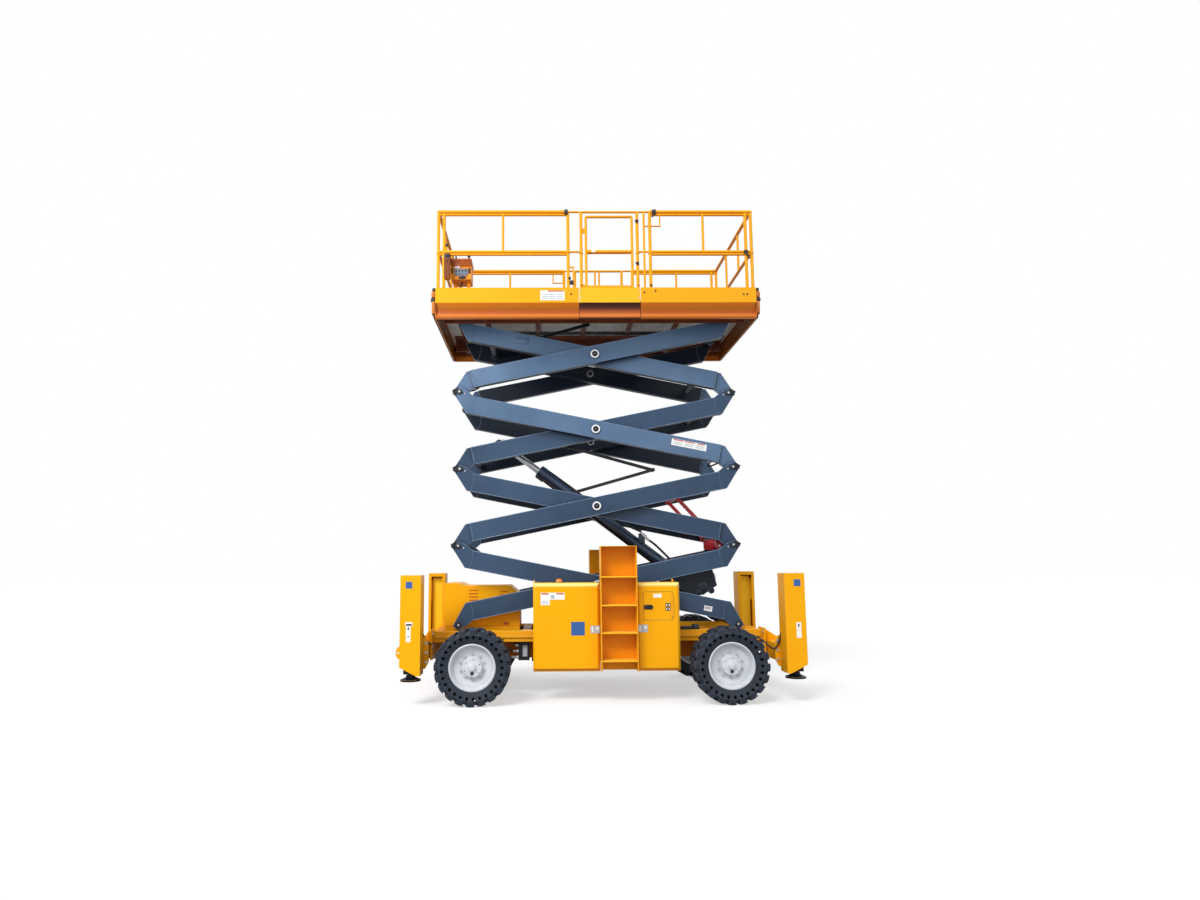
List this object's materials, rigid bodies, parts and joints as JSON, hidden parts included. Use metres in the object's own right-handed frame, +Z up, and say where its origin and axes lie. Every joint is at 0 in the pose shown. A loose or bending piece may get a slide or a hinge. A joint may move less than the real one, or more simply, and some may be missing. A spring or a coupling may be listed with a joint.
{
  "type": "scissor lift",
  "caption": "Rough-terrain scissor lift, part raised: four scissor levels on a wheeled chassis with outriggers, carrying a guard-railed work platform with two sliding extensions.",
  "frame": {"origin": "on the ground, at the middle of the overall length and width", "axes": "+Z up, +X to the rear (the steered wheels are at -X), +Y to the far side"},
  "size_m": [4.56, 2.308, 5.812],
  "materials": {
    "chassis_frame": "semi-gloss paint",
    "axles": "semi-gloss paint",
    "battery_block": "semi-gloss paint",
    "cabinets": "semi-gloss paint",
    "ladders": "semi-gloss paint",
    "front_cover": "semi-gloss paint",
    "outrigger_frame_front": "semi-gloss paint",
    "outrigger_frame_rear": "semi-gloss paint",
    "beacon": "clear lens",
    "arm_1a": "semi-gloss paint",
    "arm_1b": "semi-gloss paint",
    "arm_2a": "semi-gloss paint",
    "arm_2b": "semi-gloss paint",
    "arm_3a": "semi-gloss paint",
    "arm_3b": "semi-gloss paint",
    "arm_4a": "semi-gloss paint",
    "arm_4b": "semi-gloss paint",
    "lift_barrel": "semi-gloss paint",
    "lift_rod": "hard chrome",
    "knuckle_near": "semi-gloss paint",
    "knuckle_far": "semi-gloss paint",
    "control_door": "semi-gloss paint",
    "gate": "semi-gloss paint",
    "extension_rear": "semi-gloss paint",
    "safety_prop": "semi-gloss paint",
    "hose_link_lower": "semi-gloss paint",
    "hose_link_upper": "semi-gloss paint",
    "hose_link_top": "semi-gloss paint",
    "tyre_front_near": "moulded black rubber",
    "rim_front_near": "semi-gloss paint",
    "outrigger_leg_front_near": "semi-gloss paint",
    "tyre_front_far": "moulded black rubber",
    "rim_front_far": "semi-gloss paint",
    "outrigger_leg_front_far": "semi-gloss paint",
    "tyre_rear_near": "moulded black rubber",
    "rim_rear_near": "semi-gloss paint",
    "outrigger_leg_rear_near": "semi-gloss paint",
    "tyre_rear_far": "moulded black rubber",
    "rim_rear_far": "semi-gloss paint",
    "outrigger_leg_rear_far": "semi-gloss paint",
    "platform_frame": "semi-gloss paint",
    "platform_deck": "chequered, worn",
    "centre_rails": "semi-gloss paint",
    "extension_front": "semi-gloss paint",
    "control_box": "matt"
  },
  "bodies": {
    "chassis": {"chassis_frame": "chassis_frame", "axles": "axles", "battery_block": "battery_block", "cabinets": "cabinets", "ladders": "ladders", "front_cover": "front_cover", "outrigger_frame_front": "outrigger_frame_front", "outrigger_frame_rear": "outrigger_frame_rear", "beacon": "beacon"},
    "arm_1a": {"arm_1a": "arm_1a"},
    "arm_1b": {"arm_1b": "arm_1b"},
    "arm_2a": {"arm_2a": "arm_2a"},
    "arm_2b": {"arm_2b": "arm_2b"},
    "arm_3a": {"arm_3a": "arm_3a"},
    "arm_3b": {"arm_3b": "arm_3b"},
    "arm_4a": {"arm_4a": "arm_4a"},
    "arm_4b": {"arm_4b": "arm_4b"},
    "lift_barrel": {"lift_barrel": "lift_barrel"},
    "lift_rod": {"lift_rod": "lift_rod"},
    "knuckle_near": {"knuckle_near": "knuckle_near"},
    "knuckle_far": {"knuckle_far": "knuckle_far"},
    "control_door": {"control_door": "control_door"},
    "gate": {"gate": "gate"},
    "extension_rear": {"extension_rear": "extension_rear"},
    "safety_prop": {"safety_prop": "safety_prop"},
    "hose_link_lower": {"hose_link_lower": "hose_link_lower"},
    "hose_link_upper": {"hose_link_upper": "hose_link_upper"},
    "hose_link_top": {"hose_link_top": "hose_link_top"},
    "wheel_front_near": {"tyre_front_near": "tyre_front_near", "rim_front_near": "rim_front_near"},
    "leg_front_near": {"outrigger_leg_front_near": "outrigger_leg_front_near"},
    "wheel_front_far": {"tyre_front_far": "tyre_front_far", "rim_front_far": "rim_front_far"},
    "leg_front_far": {"outrigger_leg_front_far": "outrigger_leg_front_far"},
    "wheel_rear_near": {"tyre_rear_near": "tyre_rear_near", "rim_rear_near": "rim_rear_near"},
    "leg_rear_near": {"outrigger_leg_rear_near": "outrigger_leg_rear_near"},
    "wheel_rear_far": {"tyre_rear_far": "tyre_rear_far", "rim_rear_far": "rim_rear_far"},
    "leg_rear_far": {"outrigger_leg_rear_far": "outrigger_leg_rear_far"},
    "platform": {"platform_frame": "platform_frame", "platform_deck": "platform_deck", "centre_rails": "centre_rails"},
    "extension_front": {"extension_front": "extension_front", "control_box": "control_box"}
  },
  "joints": [
    {"name": "lift", "type": "hinge", "parent": "chassis", "child": "arm_1a", "pos_m": [-1.66, 0, 0.83], "axis": [0, -1, 0], "range_deg": [-10.79, 45.21]},
    {"name": "arm_1b_pivot", "type": "hinge", "parent": "arm_1a", "child": "arm_1b", "pos_m": [0, 0, 1.2995], "axis": [0, -1, 0], "range_deg": [-90.61, 21.79]},
    {"name": "arm_2b_pivot", "type": "hinge", "parent": "arm_1a", "child": "arm_2b", "pos_m": [1.66, 0, 1.769], "axis": [0, -1, 0], "range_deg": [-90.61, 21.79]},
    {"name": "arm_2a_pivot", "type": "hinge", "parent": "arm_2b", "child": "arm_2a", "pos_m": [0, 0, 2.2385], "axis": [0, -1, 0], "range_deg": [-21.79, 90.61]},
    {"name": "arm_3a_pivot", "type": "hinge", "parent": "arm_2b", "child": "arm_3a", "pos_m": [-1.66, 0, 2.708], "axis": [0, -1, 0], "range_deg": [-21.79, 90.61]},
    {"name": "arm_3b_pivot", "type": "hinge", "parent": "arm_3a", "child": "arm_3b", "pos_m": [0, 0, 3.1775], "axis": [0, -1, 0], "range_deg": [-90.61, 21.79]},
    {"name": "arm_4b_pivot", "type": "hinge", "parent": "arm_3a", "child": "arm_4b", "pos_m": [1.66, 0, 3.647], "axis": [0, -1, 0], "range_deg": [-90.61, 21.79]},
    {"name": "arm_4a_pivot", "type": "hinge", "parent": "arm_4b", "child": "arm_4a", "pos_m": [0, 0, 4.1165], "axis": [0, -1, 0], "range_deg": [-21.79, 90.61]},
    {"name": "platform_pivot", "type": "hinge", "parent": "arm_4b", "child": "platform", "pos_m": [-1.66, 0, 4.586], "axis": [0, -1, 0], "range_deg": [-10.99, 45.41]},
    {"name": "hose_link_lower_pivot", "type": "hinge", "parent": "arm_2b", "child": "hose_link_lower", "pos_m": [-0.46681, 0, 2.37053], "axis": [0, -1, 0], "range_deg": [-21.79, 90.61]},
    {"name": "hose_link_knee", "type": "hinge", "parent": "hose_link_lower", "child": "hose_link_upper", "pos_m": [0.72639, 0, 2.708], "axis": [0, -1, 0], "range_deg": [-90.61, 21.79]},
    {"name": "hose_link_top_pivot", "type": "hinge", "parent": "arm_4b", "child": "hose_link_top", "pos_m": [-0.86133, 0, 4.36011], "axis": [0, -1, 0], "range_deg": [-21.79, 90.61]},
    {"name": "cylinder_base_pivot", "type": "hinge", "parent": "arm_1a", "child": "lift_barrel", "pos_m": [1.23864, 0, 1.25908], "axis": [0, -1, 0], "range_deg": [-77.03, 18.54]},
    {"name": "cylinder_stroke", "type": "slide", "parent": "lift_barrel", "child": "lift_rod", "axis": [-0.7952, 0, 0.6063], "range_m": [-0.3847, 1.5953]},
    {"name": "steer_near", "type": "hinge", "parent": "chassis", "child": "knuckle_near", "pos_m": [-1.4315, -0.8, 0.419], "axis": [0, 0, 1], "range_deg": [-25, 25]},
    {"name": "wheel_front_near_spin", "type": "hinge", "parent": "knuckle_near", "child": "wheel_front_near", "pos_m": [-1.4315, -0.999, 0.419], "axis": [0, 1, 0], "continuous": true},
    {"name": "wheel_rear_near_spin", "type": "hinge", "parent": "chassis", "child": "wheel_rear_near", "pos_m": [1.4315, -0.999, 0.419], "axis": [0, 1, 0], "continuous": true},
    {"name": "leg_front_near_slide", "type": "slide", "parent": "chassis", "child": "leg_front_near", "axis": [0, 0, -1], "range_m": [0, 0.35]},
    {"name": "leg_rear_near_slide", "type": "slide", "parent": "chassis", "child": "leg_rear_near", "axis": [0, 0, -1], "range_m": [0, 0.35]},
    {"name": "steer_far", "type": "hinge", "parent": "chassis", "child": "knuckle_far", "pos_m": [-1.4315, 0.8, 0.419], "axis": [0, 0, 1], "range_deg": [-25.2, 25.2]},
    {"name": "wheel_front_far_spin", "type": "hinge", "parent": "knuckle_far", "child": "wheel_front_far", "pos_m": [-1.4315, 0.999, 0.419], "axis": [0, 1, 0], "continuous": true},
    {"name": "wheel_rear_far_spin", "type": "hinge", "parent": "chassis", "child": "wheel_rear_far", "pos_m": [1.4315, 0.999, 0.419], "axis": [0, 1, 0], "continuous": true},
    {"name": "leg_front_far_slide", "type": "slide", "parent": "chassis", "child": "leg_front_far", "axis": [0, 0, -1], "range_m": [0, 0.35]},
    {"name": "leg_rear_far_slide", "type": "slide", "parent": "chassis", "child": "leg_rear_far", "axis": [0, 0, -1], "range_m": [0, 0.35]},
    {"name": "extension_front_slide", "type": "slide", "parent": "platform", "child": "extension_front", "axis": [-1, 0, 0], "range_m": [0, 1.1]},
    {"name": "extension_rear_slide", "type": "slide", "parent": "platform", "child": "extension_rear", "axis": [1, 0, 0], "range_m": [0, 0.85]},
    {"name": "gate_hinge", "type": "hinge", "parent": "platform", "child": "gate", "pos_m": [-0.172, -0.891, 5.2], "axis": [0, 0, 1], "range_deg": [0, 88]},
    {"name": "control_door_hinge", "type": "hinge", "parent": "chassis", "child": "control_door", "pos_m": [0.821, -0.968, 1.0675], "axis": [0, 0, 1], "range_deg": [0, 110]},
    {"name": "safety_prop_pivot", "type": "hinge", "parent": "arm_2b", "child": "safety_prop", "pos_m": [1.46745, 0, 1.85983], "axis": [0, 1, 0], "range_deg": [-9, 25]}
  ],
  "couplings": [
    {"joint": "arm_1b_pivot", "follows": "lift", "ratio": -2},
    {"joint": "arm_2b_pivot", "follows": "lift", "ratio": -2},
    {"joint": "arm_2a_pivot", "follows": "lift", "ratio": 2},
    {"joint": "arm_3a_pivot", "follows": "lift", "ratio": 2},
    {"joint": "arm_3b_pivot", "follows": "lift", "ratio": -2},
    {"joint": "arm_4b_pivot", "follows": "lift", "ratio": -2},
    {"joint": "arm_4a_pivot", "follows": "lift", "ratio": 2},
    {"joint": "platform_pivot", "follows": "lift", "ratio": 1},
    {"joint": "hose_link_lower_pivot", "follows": "lift", "ratio": 2},
    {"joint": "hose_link_knee", "follows": "lift", "ratio": -2},
    {"joint": "hose_link_top_pivot", "follows": "lift", "ratio": 2},
    {"joint": "cylinder_base_pivot", "follows": "lift", "ratio": -1.6995},
    {"joint": "cylinder_stroke", "follows": "lift", "m_per_rad": 2.0156},
    {"joint": "steer_far", "follows": "steer_near", "ratio": 1}
  ]
}
